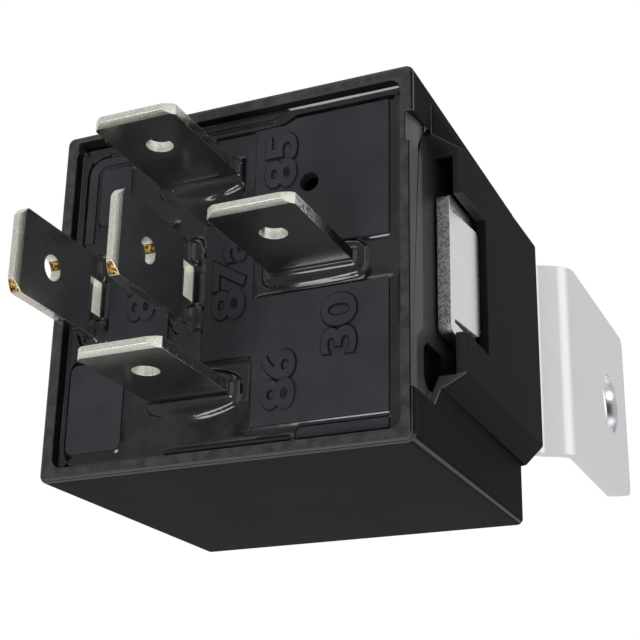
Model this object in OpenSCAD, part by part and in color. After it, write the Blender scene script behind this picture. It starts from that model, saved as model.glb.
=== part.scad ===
// Sealed changeover relay with five blade terminals and a folded steel bracket.
// The origin is the centre of the cover's open rim. The blades point along +Z,
// the magnet and the contacts lie below the rim, and the bracket is on the +X side.
// Depths are positive distances below the rim.

/* [Cover] */
// Width of the cover along X at its rim
cover_w = 28.6; // [28:0.1:36]
// Width of the cover along Y at its rim
cover_d = 27.7; // [27.5:0.1:36]
// Height of the cover from its rim to its closed end
cover_h = 25; // [24.6:0.1:34]
// Wall of the cover
cover_wall = 1; // [0.8:0.05:1.1]
// Thickness of the closed end
end_wall = 1.2; // [0.8:0.1:1.4]
// How far each side comes in towards the closed end
cover_draft = 0.3; // [0.05:0.05:0.5]
// Radius of the cover's upright corners
corner_r = 0.6; // [0.5:0.1:1.6]
// Radius of those corners inside, where the base fits
cavity_r = 0.8; // [0.7:0.1:1.6]
// Radius round the closed end
end_r = 0.5; // [0.4:0.1:1.5]
// Radius of the rim's outer edge
rim_r = 0.3; // [0.1:0.05:0.45]

/* [Bracket pocket] */
// How far the pocket's panel stands out from the side
panel_out = 1.45; // [1.3:0.05:2.4]
// Wall of the panel over the pocket
panel_wall = 0.8; // [0.5:0.05:0.9]
// Width of the panel's flat face
panel_w = 17.4; // [17.3:0.1:19]
// Y of the middle of the panel
panel_y = 1.4; // [0.8:0.1:1.7]
// Run of the panel's wide flank
flank_wide = 2.3; // [1.5:0.1:2.4]
// Run of the panel's narrow flank
flank_narrow = 1.4; // [1:0.1:2.4]
// Depth at which the panel's flat face starts
panel_front = 6.3; // [5.8:0.1:7.5]
// Depth at which the ramp up to that face starts
ramp_front = 3.9; // [3.4:0.1:5]
// Width of the notch in the side below the panel
notch_w = 20.3; // [19:0.1:20.8]
// Height of the bar that closes the notch along the rim
bar_h = 2.5; // [2:0.1:2.9]
// How far the bar is set back from the side
bar_setback = 0.25; // [0.1:0.05:0.35]
// Width of the window in the panel
window_w = 10.7; // [10:0.1:12]
// Height of the window in the panel
window_h = 5.1; // [4.9:0.1:6]

/* [Base] */
// Depth of the base's underside
base_under = 3.2; // [2.8:0.1:3.6]
// Depth of the channels that the resin fills
channel_depth = 1.9; // [1.6:0.1:2.2]
// Depth of the resin's surface
resin_depth = 1; // [0.8:0.05:1.3]
// Depth of the raised pads
pad_depth = 0.6; // [0.3:0.05:0.75]
// Gap between the base and the cover
base_fit = 0.08; // [0.05:0.01:0.15]
// Diameter of the vent's mouth
vent_d = 1.4; // [0.8:0.1:2]

/* [Terminals] */
// Width of each blade
blade_w = 6.3; // [4.8:0.1:7.6]
// Thickness of each blade
blade_t = 0.8; // [0.6:0.02:0.96]
// How far the blades reach above the rim
blade_out = 9.65; // [8:0.05:12]
// Diameter of the detent hole in each blade
detent_d = 1.9; // [1.5:0.05:2.3]
// Distance from a blade's tip to its detent hole
detent_from_tip = 4.1; // [3.2:0.05:4.9]
// Chamfer at the corners of a blade's tip
tip_chamfer = 0.75; // [0.4:0.05:1.2]
// Bevel on the faces of a blade's tip
tip_bevel = 0.18; // [0.05:0.01:0.25]
// Distance between the two coil blades
coil_pitch = 16.8; // [16.6:0.1:20.5]
// X of the coil blades
coil_blade_x = -2.5; // [-2.8:0.1:-2.2]
// X of the common blade, 30
common_x = 6.6; // [6.5:0.05:6.8]
// X of the normally closed blade, 87a
nc_x = -3.3; // [-3.5:0.05:-3.1]
// X of the normally open blade, 87
no_x = -11.05; // [-11.2:0.05:-10.9]
// Width of the window at the root of blades 87 and 87a
root_window_w = 2.7; // [1:0.1:4]
// Height of that window
root_window_h = 1.5; // [0.5:0.1:3]

/* [Magnet] */
// X of the coil's axis
coil_x = 0.6; // [0.4:0.1:0.6]
// Diameter of the core
core_d = 6.4; // [4.8:0.1:7.7]
// Diameter of the core's pole head
pole_d = 9.6; // [8:0.1:11.6]
// Thickness of the pole head
pole_t = 1.2; // [0.8:0.1:1.5]
// Depth of the pole face and of the yoke's end
pole_depth = 17.8; // [17:0.1:17.8]
// Thickness of the yoke
yoke_t = 1.8; // [1.4:0.05:1.9]
// Width of the yoke
yoke_w = 13; // [10:0.1:14]
// Side of the bobbin's flanges
flange_w = 15.2; // [14.8:0.1:15.4]
// Thickness of the bobbin's flanges
flange_t = 0.9; // [0.6:0.05:1.1]
// Wall of the bobbin's tube
tube_wall = 0.9; // [0.5:0.05:1.2]
// Outer diameter of the winding
winding_d = 14; // [11.7:0.1:14.2]
// Thickness of the tape round the winding
tape_t = 0.15; // [0.05:0.05:0.2]
// Diameter of the coil's lead wires
lead_d = 0.35; // [0.2:0.05:0.5]

/* [Armature and contacts] */
// Thickness of the armature
armature_t = 1.37; // [1.1:0.01:1.5]
// Angle that the armature stands open at rest
open_angle = 3; // [2.5:0.1:3.2]
// Thickness of the contact leaf
leaf_t = 0.3; // [0.2:0.02:0.36]
// Width of the contact leaf
leaf_w = 4.8; // [3.6:0.1:5.8]
// X of the contacts
contact_x = -9.4; // [-9.5:0.05:-9.3]
// Diameter of the moving contact
moving_contact_d = 3.4; // [2.8:0.1:4]
// Diameter of the fixed contacts
fixed_contact_d = 3.8; // [3:0.1:4.2]
// Height of each contact face above what carries it
contact_h = 0.8; // [0.6:0.05:0.85]
// Radius of the domed contact faces
dome_r = 6; // [4:0.5:10]
// Air gap left where the contacts and the pole face meet
touch_gap = 0.02; // [0.01:0.01:0.05]
// Diameter of the rivets in the leaf
rivet_d = 1.6; // [1.2:0.1:1.9]
// Outer diameter of the return spring
spring_d = 1.8; // [1.5:0.05:1.9]
// Wire of the return spring
spring_wire = 0.3; // [0.2:0.02:0.36]
// Turns of the return spring
spring_turns = 13; // [8:1:15]
// Thickness of the flexible braid
braid_t = 0.6; // [0.4:0.05:0.8]

/* [Bracket] */
// Thickness of the bracket's sheet
bracket_t = 1; // [0.8:0.05:1.2]
// Width of the bracket
bracket_w = 16.6; // [14:0.1:16.8]
// Y of the middle of the bracket
bracket_y = 1.1; // [0.8:0.1:1.3]
// Width of the bracket's tip in the window
tongue_w = 10.7; // [8:0.1:12]
// Depth of the end of the tip
tongue_end = 6; // [5.2:0.1:6.2]
// Length of the tip that is narrower than the bracket
tongue_l = 6.4; // [4:0.1:8]
// Width of the sprung catch in the tip
catch_w = 8.4; // [4:0.1:8.6]
// Depth of the catch's root
catch_root = 6.8; // [6.5:0.1:8]
// Depth of the catch's free end
catch_end = 11.2; // [9:0.1:11.2]
// How far the free end stands out from the tip
catch_out = 0.45; // [0.2:0.05:0.8]
// Width of the slots round the catch
catch_slot = 0.2; // [0.15:0.05:0.3]
// Gap between the cover's end and the bracket's bend
bend_gap = 1.2; // [0.6:0.1:3]
// Angle of the bracket's two bends
bend_angle = 62; // [45:1:75]
// Inner radius of the bends
bend_r = 1; // [0.5:0.1:1.5]
// How far the ear stands out from the tongue
ear_offset = 2.95; // [2.8:0.05:6]
// How far the ear reaches past the cover's end
ear_reach = 22; // [19:0.1:31]
// Diameter of the mounting hole
hole_d = 5.3; // [4.2:0.1:6.5]
// Distance from the hole to the ear's far edge
hole_from_end = 6.2; // [5:0.1:8]
// Radius of the ear's corners
ear_r = 0.9; // [0.4:0.1:1.4]
// Gap between the bracket and its pocket
pocket_fit = 0.15; // [0.1:0.05:0.25]

/* [Hidden] */
$fn = 48;
hull_fn = 32;
overcut = 1;
catch_r = 0.7;
catch_overlap = 0.3;

// Cover and pocket, outermost face first
side_x = cover_w / 2;
panel_x = side_x + panel_out;
tongue_x = panel_x - panel_wall - pocket_fit;
pocket_x = tongue_x - bracket_t - pocket_fit;
rib_x = pocket_x - cover_wall;
rib_gap = 0.05;
bend_depth = cover_h + bend_gap;
ear_end = cover_h + ear_reach;

// Base
base_w = cover_w - 2 * (cover_wall + base_fit);
base_d = cover_d - 2 * (cover_wall + base_fit);
slot_fit = 0.05;

// Depths of the magnet's stack, from the base down
foot_depth = base_under + blade_t;
yoke_depth = foot_depth + 0.2;
coil_depth = yoke_depth + yoke_t;
head_depth = pole_depth - pole_t;
flange_half = flange_w / 2;
yoke_gap = 0.2;
yoke_in = coil_x + flange_half + yoke_gap;
yoke_out = yoke_in + yoke_t;

// Armature, measured when it is pulled in
armature_depth = pole_depth + touch_gap;
leaf_depth = armature_depth + armature_t;
leaf_top = leaf_depth + leaf_t;
contact_low = leaf_depth - contact_h;
contact_high = leaf_top + contact_h;
reach = yoke_out - contact_x;
armature_end = coil_x - pole_d / 2 - 2;
tail_w = 4.2;
tail_l = spring_d + 0.5;
spring_x = yoke_out + spring_d / 2 + 0.15;
lug_depth = 9.5;
leaf_rivets = [coil_x + 2.4, coil_x - 2.4];

// Where the moving contact's dome is highest when the armature is open
dome_centre = contact_high - dome_r;
open_dome = pole_depth + (dome_centre - pole_depth) * cos(open_angle) + reach * sin(open_angle);
nc_face = open_dome + dome_r + touch_gap;
nc_depth = nc_face + contact_h;
no_face = contact_low - touch_gap;
no_depth = no_face - contact_h - blade_t;

// Tabs of the coil terminals and the solder on them
tab_w = 2;
tab_shift = 1.4;
tab_end = coil_depth + flange_t + 2.2;
solder_d = 0.7;

// Legs of the contact carriers
leg_x = no_x - 1.55;
leg_near = 4.2;
leg_far = 7.4;

// Raised pads of the base, as outlines in X and Y
pad_85 = [[1.9, 1.4], [12.3, 1.4], [12.3, 11.8], [5.1, 11.8], [4.2, 11.4], [1.9, 11.4]];
pad_30 = [
    [-1.9, 4.4], [2, 4.4], [2, -1.9], [12.3, -1.9], [12.3, -11.4], [2.1, -11.4],
    [2.1, -6.2], [-1.9, -6.2]
];
pad_87 = [[-9.8, -4.6], [-4.7, -4.6], [-4.7, 5.2], [-9.8, 5.2]];
pad_87_inner = [-9.95, 8.4, 2.7, 4.8];
pad_87_low = [-10.4, -8.4, 4.6, 6.8];
ledge_far = [[-10.6, 12.1], [3.3, 12.1], [4.3, 12.6], [-10.6, 12.6]];
ledge_near = [[5.6, -12.6], [12.3, -12.6], [12.3, -11.8], [6, -11.8], [5.6, -12]];
ledge_slot = [[-4.5, -12.6], [5.2, -12.6], [5.2, -12.35], [-4.5, -12.35]];

// Lower step beside the pad of terminal 85
step_85 = [[-1.4, 9.6], [0.95, 9.6], [0.95, 6.6], [2, 6.6], [2, 11.4], [-1.4, 11.4]];
step_depth = pad_depth + 0.2;
vent_at = [6.2, 6.4];

// Flexible braid: a flat strip from the common terminal's tab, round the yoke's end, to the leaf
braid_y = -4;
braid_w = 2;
braid_bend = 1.3;
braid_start = 8.2;
weld_x = coil_x + 3.6;
leaf_end = yoke_out - 3.2;
braid_gap = 0.02;

// ---- Shapes that repeat ----

// Rectangle with round corners, centred
module rounded_rect(w, d, r) {
    square([w - 2 * r, d], center = true);
    square([w, d - 2 * r], center = true);
    for (sx = [-1, 1], sy = [-1, 1])
        translate([sx * (w / 2 - r), sy * (d / 2 - r)]) circle(r = r);
}

// Outline in X and Y, from one depth to a shallower one
module slab(low, high) {
    translate([0, 0, -low]) linear_extrude(low - high) children();
}

// Outline in X and Z, extruded along Y and centred on y
module along_y(width, y = 0) {
    translate([0, y + width / 2, 0]) rotate([90, 0, 0]) linear_extrude(width) children();
}

// Outline in Y and Z, extruded along X from x
module along_x(x, length) {
    translate([x, 0, 0]) rotate([90, 0, 90]) linear_extrude(length) children();
}

// Box between two X values, two Y values and two depths
module block(x0, x1, y0, y1, low, high) {
    translate([x0, y0, -low]) cube([x1 - x0, y1 - y0, low - high]);
}

// Upright cylinder between two depths
module post(x, y, d, low, high) {
    translate([x, y, -low]) cylinder(d = d, h = low - high);
}

// Moulded box that is open at the rim and narrows by its draft to the closed end
module moulded_box(w, d, h, r, r_end, rim_r, above) {
    hull() {
        for (sx = [-1, 1], sy = [-1, 1]) {
            translate([sx * (w / 2 - r), sy * (d / 2 - r), 0]) {
                translate([0, 0, -2 * rim_r]) cylinder(r = r, h = rim_r, $fn = hull_fn);
                translate([0, 0, -rim_r]) cylinder(r = r - 0.13 * rim_r, h = 0.5 * rim_r, $fn = hull_fn);
                translate([0, 0, -rim_r]) cylinder(r = r - 0.5 * rim_r, h = 0.87 * rim_r, $fn = hull_fn);
                translate([0, 0, -rim_r]) cylinder(r = r - rim_r, h = rim_r + above, $fn = hull_fn);
            }
            translate([sx * (w / 2 - cover_draft - r_end), sy * (d / 2 - cover_draft - r_end), r_end - h])
                sphere(r = r_end, $fn = hull_fn);
        }
    }
}

// Blade with its width along X: chamfered and bevelled tip, detent hole, plain root
module blade(root = base_under) {
    half = blade_w / 2;
    flat = blade_t / 2;
    difference() {
        intersection() {
            along_y(blade_t)
                polygon([
                    [-half, -root], [half, -root], [half, blade_out - tip_chamfer],
                    [half - tip_chamfer, blade_out], [tip_chamfer - half, blade_out],
                    [-half, blade_out - tip_chamfer]
                ]);
            along_x(-half, blade_w)
                polygon([
                    [-flat, -root], [flat, -root], [flat, blade_out - 3 * tip_bevel],
                    [flat - tip_bevel, blade_out], [tip_bevel - flat, blade_out],
                    [-flat, blade_out - 3 * tip_bevel]
                ]);
        }
        translate([0, 0, blade_out - detent_from_tip])
            rotate([90, 0, 0]) cylinder(d = detent_d, h = blade_t + overcut, center = true);
    }
}

// Blade turned so that its width is along Y, with the window at its root
module cross_blade(root) {
    sill = resin_depth - 0.25;
    difference() {
        rotate([0, 0, 90]) blade(root);
        block(-blade_t, blade_t, -root_window_w / 2, root_window_w / 2, sill, sill - root_window_h);
    }
}

// Slots that the five blades pass through
module blade_slots(fit) {
    w = blade_w + 2 * fit;
    t = blade_t + 2 * fit;
    for (s = [-1, 1])
        translate([coil_blade_x, s * coil_pitch / 2]) square([w, t], center = true);
    translate([common_x, 0]) square([w, t], center = true);
    for (x = [nc_x, no_x])
        translate([x, 0]) square([t, w], center = true);
}

// Arc from heading along +Y to heading along +X, about a centre
function quarter_arc(centre, r) =
    [for (a = [0 : 15 : 90]) [centre[0] - r * cos(a), centre[1] + r * sin(a)]];
function reversed(points) = [for (i = [len(points) - 1 : -1 : 0]) points[i]];

// Raised pads of the base
module pad_outlines() {
    polygon(pad_85);
    polygon(pad_30);
    polygon(pad_87);
    polygon(ledge_far);
    polygon(ledge_near);
    polygon(ledge_slot);
    polygon(concat(
        [[-12.4, 4.7]], quarter_arc([-11.1, 10.5], 1.3), [[-7, 11.8], [-7, 11.1]],
        reversed(quarter_arc([-10.8, 10.3], 0.8)), [[-11.6, 4.7]]
    ));
    for (pad = [pad_87_inner, pad_87_low])
        translate([pad[0], pad[1]]) rounded_rect(pad[2], pad[3], 0.6);
}

// Contact button with a domed face, standing up from z = 0 on a shank that goes down
module contact_button(d, h, shank) {
    intersection() {
        cylinder(d = d, h = h);
        translate([0, 0, h - dome_r]) sphere(r = dome_r, $fn = 96);
    }
    translate([0, 0, -shank]) cylinder(d = rivet_d, h = shank + h / 2);
}

// Same shape on the side of terminal 85 (side = 1) or of terminal 86 (side = -1)
module on_side(side) {
    if (side > 0) children();
    else mirror([0, 1, 0]) children();
}

// What turns with the armature: drawn pulled in, and turned open about the yoke's edge
module open_position() {
    translate([yoke_out, 0, -pole_depth])
        rotate([0, -open_angle, 0])
            translate([-yoke_out, 0, pole_depth]) children();
}

// ---- Housing ----

// Panel's section, from inside the wall to its face
module panel_section() {
    low = panel_y - panel_w / 2;
    high = panel_y + panel_w / 2;
    inside = side_x - cover_wall + 0.1;
    polygon([
        [inside, low - flank_narrow], [side_x, low - flank_narrow], [panel_x, low],
        [panel_x, high], [side_x, high + flank_wide], [inside, high + flank_wide]
    ]);
}

// Box's side and the panel, with the ramp between them, in X and Z
module ramp_section() {
    inside = side_x - cover_wall;
    polygon([
        [inside, -cover_h - overcut], [inside, -ramp_front], [side_x, -ramp_front],
        [panel_x, -panel_front], [panel_x, -cover_h - overcut]
    ]);
}

// Opening of the notch in Y and Z: shallow at its ends, closed by the bar in the middle
module notch_outline() {
    half = notch_w / 2;
    low = panel_y - panel_w / 2;
    bar_low = bracket_y - tongue_w / 2 - 1;
    bar_high = bracket_y + tongue_w / 2 + 1;
    shallow = bar_h / 2;
    polygon([
        [-half, -shallow], [bar_low - 1.1, -shallow], [bar_low, -bar_h], [bar_high, -bar_h],
        [bar_high + 0.9, -bar_h + 0.6], [half, -bar_h - 0.5], [half, -ramp_front],
        [half - 0.3, -panel_front], [low, -panel_front], [-half, -ramp_front]
    ]);
}

// Sloping end of the bar, in X and Z
module bar_facet() {
    polygon([
        [side_x - bar_setback - 0.35, overcut], [side_x - bar_setback - 0.35, 0],
        [side_x, -bar_h - 0.7], [side_x + overcut, -bar_h - 0.7], [side_x + overcut, overcut]
    ]);
}

module cover() {
    slot_low = bracket_y - bracket_w / 2 - pocket_fit;
    slot_high = bracket_y + bracket_w / 2 + pocket_fit;
    facet_start = bracket_y + tongue_w / 2 + 1.4;
    recess_in = 0.7;
    recess_end = 8.9;
    recess_w = 3.3;
    recess_h = 4;
    recess_depth = 3.6;
    color([0.16, 0.16, 0.17]) difference() {
        union() {
            difference() {
                union() {
                    moulded_box(cover_w, cover_d, cover_h, corner_r, end_r, rim_r, 0);
                    intersection() {
                        slab(cover_h, ramp_front) panel_section();
                        along_y(cover_d) ramp_section();
                    }
                }
                moulded_box(cover_w - 2 * cover_wall, cover_d - 2 * cover_wall, cover_h - end_wall,
                            cavity_r, end_r - 0.2, 0, overcut);
            }
            block(rib_x, pocket_x, -recess_end - cover_wall, slot_high + cover_wall,
                  cover_h - end_wall / 2, base_under + rib_gap);
        }
        block(pocket_x, tongue_x + pocket_fit, slot_low, slot_high, cover_h + overcut, bar_h);
        along_x(pocket_x, panel_x - pocket_x + overcut) notch_outline();
        block(side_x - bar_setback, panel_x + overcut, -notch_w / 2, notch_w / 2, bar_h, -overcut);
        block(tongue_x, panel_x + overcut, bracket_y - window_w / 2, bracket_y + window_w / 2,
              panel_front + window_h, panel_front - 0.2);
        along_y(notch_w / 2 - facet_start, (notch_w / 2 + facet_start) / 2) bar_facet();
        along_x(pocket_x - recess_in, recess_in + 0.05)
            translate([-recess_end + recess_w / 2, -recess_depth - recess_h / 2])
                rounded_rect(recess_w, recess_h, 1);
        block(-cover_w / 2 + 1, -cover_w / 2 + 3.4, cover_d / 2 - 1.3, cover_d / 2 - 0.55, 1.6, -overcut);
    }
}

module base() {
    color([0.22, 0.22, 0.24]) difference() {
        union() {
            slab(base_under, channel_depth) rounded_rect(base_w, base_d, cavity_r);
            slab(channel_depth, pad_depth) pad_outlines();
            slab(channel_depth, step_depth) polygon(step_85);
        }
        slab(base_under + overcut, -overcut) blade_slots(slot_fit);
        post(vent_at[0], vent_at[1], vent_d, channel_depth - 0.5, -overcut);
    }
}

module sealing_resin() {
    color([0.05, 0.05, 0.05]) slab(channel_depth, resin_depth) difference() {
        rounded_rect(base_w, base_d, cavity_r);
        pad_outlines();
        polygon(step_85);
        blade_slots(0);
    }
}

// ---- Bracket ----

// One bend of the sheet in X and Z, from heading -Z to heading outwards by the bend angle.
// The sheet's inner face is at x = 0 where it starts.
module sheet_bend() {
    middle = bend_r + bracket_t;
    far = 3 * middle;
    translate([middle, 0]) intersection() {
        difference() {
            circle(r = middle);
            circle(r = bend_r);
        }
        polygon([[0, 0], [-far, 0], [-far, -far], [-far * cos(bend_angle), -far * sin(bend_angle)]]);
    }
}

// Section of the whole bracket in X and Z
module bracket_section() {
    swing = (2 * bend_r + bracket_t) * (1 - cos(bend_angle));
    web = (ear_offset - swing) / sin(bend_angle);
    drop = (2 * bend_r + bracket_t) * sin(bend_angle) + web * cos(bend_angle);
    inner = tongue_x - bracket_t;
    ear_start = bend_depth + drop;
    translate([inner, -bend_depth]) square([bracket_t, bend_depth - tongue_end]);
    translate([inner, -bend_depth]) sheet_bend();
    translate([inner + bend_r + bracket_t, -bend_depth])
        rotate(bend_angle)
            translate([-bend_r - bracket_t, -web]) square([bracket_t, web]);
    translate([inner + ear_offset + bracket_t, -ear_start]) rotate(180) sheet_bend();
    translate([inner + ear_offset, -ear_end]) square([bracket_t, ear_end - ear_start]);
}

// Outline of the bracket in Y and Z: the tip, two shoulders, and the ear's two low corners,
// one rounded and one cut back by a long chamfer
module bracket_outline() {
    half = bracket_w / 2;
    tip = tongue_w / 2;
    shoulder = tongue_end + tongue_l;
    steps = [0 : 15 : 90];
    polygon(concat(
        [[-half, 5.2 - ear_end], [-half, -shoulder - 1.2], [-tip, -shoulder]],
        [for (a = steps) [0.6 - tip - 0.6 * cos(a), 0.6 * sin(a) - 0.6 - tongue_end]],
        [for (a = steps) [tip - 0.6 + 0.6 * sin(a), 0.6 * cos(a) - 0.6 - tongue_end]],
        [[tip, -shoulder], [half, -shoulder - 1.2]],
        [for (a = steps) [half - ear_r + ear_r * cos(a), ear_r - ear_end - ear_r * sin(a)]],
        [for (a = steps) [2 - half - ear_r * sin(a * 0.85), ear_r - ear_end - ear_r * cos(a * 0.85)]]
    ));
}

// Catch's outline in Y and Z from its root down, its free corners rounded, grown by a gap
module catch_outline(root, gap) {
    half = catch_w / 2 + gap;
    low = -catch_end - gap;
    steps = [0 : 15 : 90];
    polygon(concat(
        [[-half, -root]],
        [for (a = steps) [catch_r - half - catch_r * cos(a), low + catch_r - catch_r * sin(a)]],
        [for (a = steps) [half - catch_r + catch_r * sin(a), low + catch_r - catch_r * cos(a)]],
        [[half, -root]]
    ));
}

// Catch's section in X and Z, rooted in the tip and leaning outwards
module catch_section() {
    inner = tongue_x - bracket_t;
    polygon([
        [inner, catch_overlap - catch_root], [tongue_x, catch_overlap - catch_root],
        [tongue_x, -catch_root], [tongue_x + catch_out, -catch_end],
        [inner + catch_out, -catch_end], [inner, -catch_root]
    ]);
}

module bracket() {
    ear_x = tongue_x + ear_offset;
    color([0.78, 0.78, 0.79]) difference() {
        union() {
            difference() {
                intersection() {
                    along_y(bracket_w, bracket_y) bracket_section();
                    translate([0, bracket_y, 0]) along_x(side_x - 3, ear_offset + 8) bracket_outline();
                }
                translate([0, bracket_y, 0]) along_x(side_x - 3, 6) catch_outline(catch_root, catch_slot);
            }
            intersection() {
                along_y(catch_w, bracket_y) catch_section();
                translate([0, bracket_y, 0])
                    along_x(side_x - 3, 6) catch_outline(catch_root - catch_overlap, 0);
            }
        }
        translate([ear_x - bracket_t - overcut, bracket_y, hole_from_end - ear_end])
            rotate([0, 90, 0]) cylinder(d = hole_d, h = bracket_t + 2 * overcut);
    }
}

// ---- Terminals ----

// Blade with a narrow tab below the base, notched at its side for the coil's lead
module coil_terminal(side) {
    left = -tab_shift - tab_w / 2;
    color([0.75, 0.73, 0.66]) translate([coil_blade_x, side * coil_pitch / 2, 0]) {
        blade();
        difference() {
            block(left, left + tab_w, -blade_t / 2, blade_t / 2, tab_end, base_under);
            block(left - overcut, left + 0.4, -blade_t, blade_t, tab_end - 0.6, tab_end - 1.6);
        }
    }
}

module terminal_30() {
    reach_y = 5;
    color([0.75, 0.73, 0.66]) {
        translate([common_x, 0, 0]) blade();
        block(common_x - blade_w / 2, yoke_out + blade_t, -reach_y, blade_t / 2, foot_depth, base_under);
        block(yoke_out, yoke_out + blade_t, -reach_y, -1.6, 11, base_under);
    }
}

module terminal_87() {
    inner_w = 5.2;
    flat = blade_t / 2;
    color([0.75, 0.73, 0.66]) difference() {
        union() {
            translate([no_x, 0, 0]) cross_blade(base_under);
            block(no_x - flat, no_x + flat, -inner_w / 2, inner_w / 2, no_depth + blade_t, base_under);
            block(no_x - flat, contact_x + fixed_contact_d / 2 + 0.2, -inner_w / 2, inner_w / 2,
                  no_depth + blade_t, no_depth);
        }
        post(contact_x, 0, rivet_d, no_depth + blade_t + overcut, no_depth - overcut);
    }
}

module terminal_87a() {
    flat = blade_t / 2;
    half = blade_w / 2;
    back = nc_x + flat;
    arm_x = contact_x + fixed_contact_d / 2;
    arm_y = -fixed_contact_d / 2;
    clear_x = no_x + flat + 0.9;
    color([0.75, 0.73, 0.66]) difference() {
        union() {
            translate([nc_x, 0, 0]) cross_blade(base_under);
            slab(foot_depth, base_under)
                polygon([
                    [back, -half], [back, leg_far], [leg_x, leg_far], [leg_x, leg_near],
                    [clear_x, leg_near], [clear_x, -half]
                ]);
            block(leg_x, leg_x + blade_t, leg_near, leg_far, nc_depth + blade_t, base_under);
            slab(nc_depth + blade_t, nc_depth)
                polygon([
                    [leg_x, leg_far], [arm_x, leg_far], [arm_x, arm_y],
                    [contact_x - fixed_contact_d / 2, arm_y], [contact_x - fixed_contact_d / 2, leg_near],
                    [leg_x, leg_near]
                ]);
        }
        post(contact_x, 0, rivet_d, nc_depth + blade_t + overcut, nc_depth - overcut);
    }
}

// ---- Magnet ----

module yoke() {
    tail_d = core_d - 1.4;
    lug_w = 3.2;
    color([0.62, 0.6, 0.56]) difference() {
        union() {
            along_y(yoke_w) {
                translate([coil_x - 5, -coil_depth]) square([yoke_out - yoke_t - coil_x + 5, yoke_t]);
                translate([yoke_in, -pole_depth]) square([yoke_t, pole_depth - coil_depth]);
                translate([yoke_out - yoke_t, -coil_depth]) intersection() {
                    circle(r = yoke_t);
                    square(yoke_t);
                }
            }
            block(yoke_out - 0.2, yoke_out + spring_d + 0.3, -lug_w / 2 + 0.4, lug_w / 2, lug_depth + 0.8,
                  lug_depth);
        }
        post(coil_x, 0, tail_d, coil_depth + overcut, yoke_depth - overcut);
        post(spring_x, 0, 0.9, lug_depth + 0.8 + overcut, lug_depth - overcut);
    }
}

module core() {
    tail_d = core_d - 1.4;
    color([0.66, 0.65, 0.62]) {
        post(coil_x, 0, tail_d, coil_depth + 0.1, yoke_depth);
        post(coil_x, 0, core_d, pole_depth, coil_depth);
        post(coil_x, 0, pole_d, pole_depth, head_depth);
    }
}

module bobbin() {
    bore = core_d + 0.2;
    tube = core_d + 2 * tube_wall;
    color([0.88, 0.86, 0.8]) difference() {
        union() {
            for (depth = [coil_depth + flange_t, head_depth])
                translate([coil_x, 0, 0]) slab(depth, depth - flange_t) rounded_rect(flange_w, flange_w, 1);
            post(coil_x, 0, tube, head_depth - flange_t, coil_depth + flange_t);
        }
        post(coil_x, 0, bore, head_depth + overcut, coil_depth - overcut);
    }
}

module coil_winding() {
    color([0.72, 0.38, 0.2]) difference() {
        post(coil_x, 0, winding_d, head_depth - flange_t, coil_depth + flange_t);
        post(coil_x, 0, core_d + 2 * tube_wall, head_depth, coil_depth);
    }
}

module coil_tape() {
    color([0.9, 0.78, 0.3]) difference() {
        post(coil_x, 0, winding_d + 2 * tape_t, head_depth - flange_t - 0.2, coil_depth + flange_t + 1);
        post(coil_x, 0, winding_d, head_depth, coil_depth);
    }
}

// Lead from the winding's edge to the coil terminal's tab, with its drop of solder
module coil_lead(side) {
    depth = coil_depth + flange_t + 0.5;
    start = [coil_x, winding_d / 2 + lead_d / 2 + 0.02];
    end = [coil_blade_x - tab_shift, coil_pitch / 2 - blade_t / 2 - solder_d / 2 - 0.01];
    run = end - start;
    color([0.75, 0.42, 0.22]) on_side(side) {
        translate([start[0], start[1], -depth])
            rotate([0, 0, atan2(run[1], run[0])])
                rotate([0, 90, 0]) cylinder(d = lead_d, h = norm(run));
        post(end[0], end[1], solder_d, depth + solder_d / 2, depth - solder_d / 2);
    }
}

// ---- Armature and contacts ----

module armature() {
    color([0.66, 0.65, 0.62]) open_position() difference() {
        union() {
            block(armature_end, yoke_out, -yoke_w / 2 + 0.5, yoke_w / 2 - 0.5, leaf_depth, armature_depth);
            block(yoke_out - 1, yoke_out + tail_l, -tail_w / 2 + 0.3, tail_w / 2 - 0.3, leaf_depth,
                  armature_depth);
        }
        post(spring_x, 0, 0.9, leaf_depth + overcut, armature_depth - overcut);
        for (x = leaf_rivets) post(x, 0, rivet_d, leaf_depth + overcut, armature_depth - overcut);
    }
}

module contact_leaf() {
    color([0.8, 0.5, 0.28]) open_position() difference() {
        union() {
            block(contact_x, leaf_end, -leaf_w / 2, leaf_w / 2, leaf_top, leaf_depth);
            block(weld_x, leaf_end, braid_y - braid_w / 2 - 0.3, 0, leaf_top, leaf_depth);
            post(contact_x, 0, leaf_w - 0.6, leaf_top, leaf_depth);
        }
        for (x = leaf_rivets) post(x, 0, rivet_d, leaf_top + overcut, leaf_depth - overcut);
        post(contact_x, 0, rivet_d, leaf_top + overcut, leaf_depth - overcut);
    }
}

module leaf_rivet(x) {
    color([0.7, 0.69, 0.66]) open_position() {
        post(x, 0, rivet_d, leaf_top + 0.3, armature_depth);
        post(x, 0, rivet_d + 1.2, leaf_top + 0.5, leaf_top);
    }
}

module moving_contact() {
    color([0.85, 0.85, 0.84]) open_position() {
        translate([contact_x, 0, -leaf_depth]) contact_button(moving_contact_d, contact_h, leaf_t);
        translate([contact_x, 0, -leaf_top]) rotate([180, 0, 0])
            contact_button(moving_contact_d, contact_h, leaf_t);
    }
}

// Fixed contact, its flat face turned to the moving one and its shank through the carrier
module fixed_contact(face, carrier) {
    towards = sign(carrier - face);
    back = max(face, carrier);
    front = min(face, carrier);
    color([0.85, 0.85, 0.84]) {
        post(contact_x, 0, fixed_contact_d, back, front);
        post(contact_x, 0, rivet_d, max(face, carrier + towards * blade_t),
             min(face, carrier + towards * blade_t));
    }
}

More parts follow.
